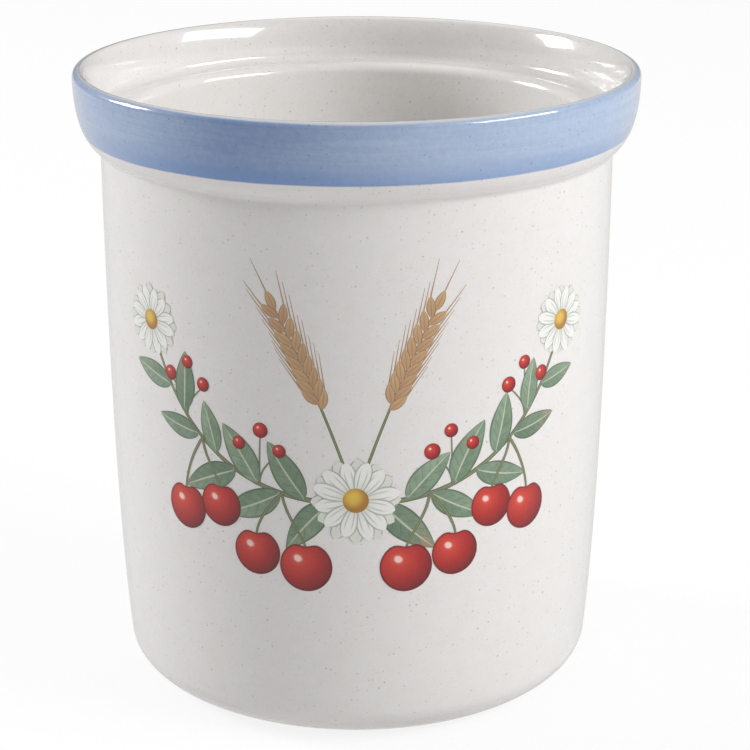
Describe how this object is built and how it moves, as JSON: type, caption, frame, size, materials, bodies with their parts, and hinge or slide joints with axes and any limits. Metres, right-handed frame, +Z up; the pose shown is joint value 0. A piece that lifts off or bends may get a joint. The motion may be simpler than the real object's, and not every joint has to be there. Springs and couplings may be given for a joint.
{
  "type": "kitchen canister",
  "caption": "Open round stoneware kitchen canister with a flared, banded collar, a lid ledge inside its mouth and a recessed base, glazed inside and out, for holding dry food or utensils.",
  "frame": {"origin": "on the axis of the pot, in the plane that its foot ring stands on", "axes": "+Z up along the axis of the pot, -Y towards the decorated front"},
  "size_m": [0.165, 0.165, 0.1852],
  "materials": {
    "bare_stoneware": "unglazed, matt buff stoneware",
    "white_glaze": "glossy off-white glaze with fine brown-grey specks",
    "blue_glaze": "glossy grey-blue brushed glaze with fine specks"
  },
  "bodies": {
    "root": {"stoneware_body": "bare_stoneware", "outside_glaze": "white_glaze", "blue_band_glaze": "blue_glaze", "inside_glaze": "white_glaze", "underside_glaze": "white_glaze"}
  },
  "joints": []
}
